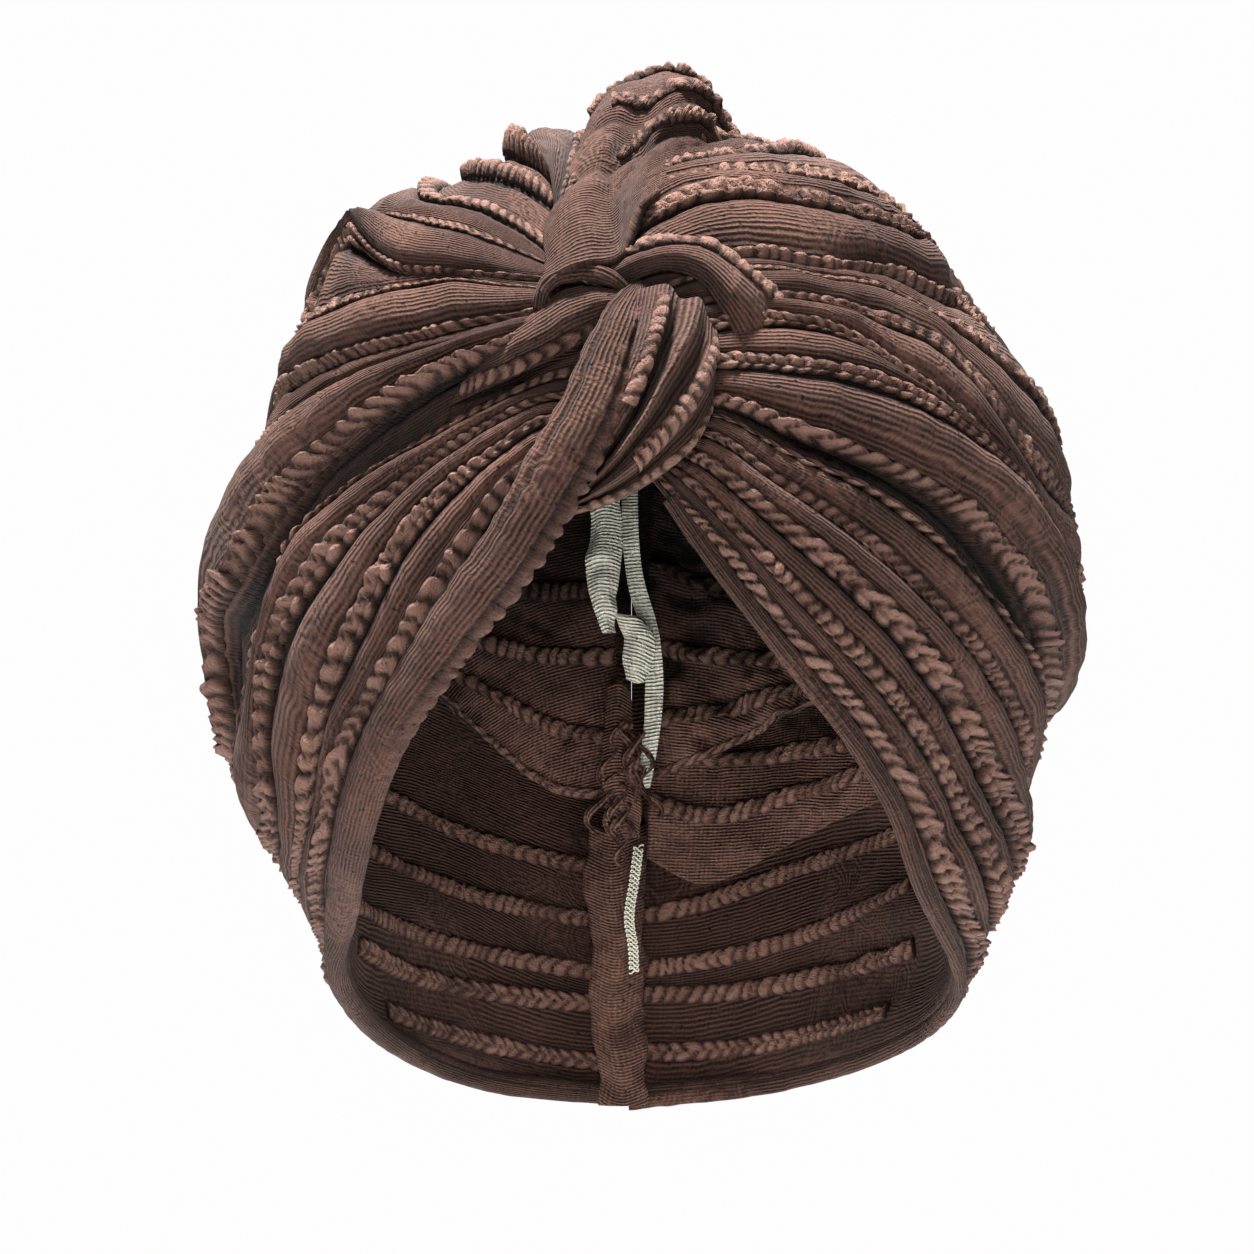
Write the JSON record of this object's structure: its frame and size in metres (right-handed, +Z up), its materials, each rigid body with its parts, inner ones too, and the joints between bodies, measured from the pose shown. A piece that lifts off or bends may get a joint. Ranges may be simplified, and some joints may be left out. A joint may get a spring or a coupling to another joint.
{
  "type": "turban hat",
  "caption": "Pre-tied knit turban with ruffled bands that wrap round the head from a twist knot at the front, and a face opening.",
  "frame": {"origin": "where the top of a head meets the inside of the crown", "axes": "+Z up; the front, with the knot and the face opening, looks along -Y; +X is to the viewer's right"},
  "size_m": [0.2005, 0.2278, 0.2446],
  "materials": {
    "turban_cloth": "matt brown ribbed jersey with puckered ruffle rows",
    "inner_cloth": "matt brown inside of the jersey",
    "pale_tape": "matt pale cloth"
  },
  "bodies": {
    "root": {"left_wing": "turban_cloth", "right_wing": "turban_cloth", "left_hem_roll": "turban_cloth", "right_hem": "turban_cloth", "knot_fan": "turban_cloth", "knot_over_loop": "turban_cloth", "knot_collar": "turban_cloth", "crown_peak": "turban_cloth", "left_inner_fold": "inner_cloth", "right_upper_fold": "inner_cloth", "right_lower_fold": "inner_cloth", "seam_allowance": "inner_cloth", "frayed_tails": "inner_cloth", "pale_tape": "pale_tape", "pale_strip": "pale_tape"}
  },
  "joints": []
}
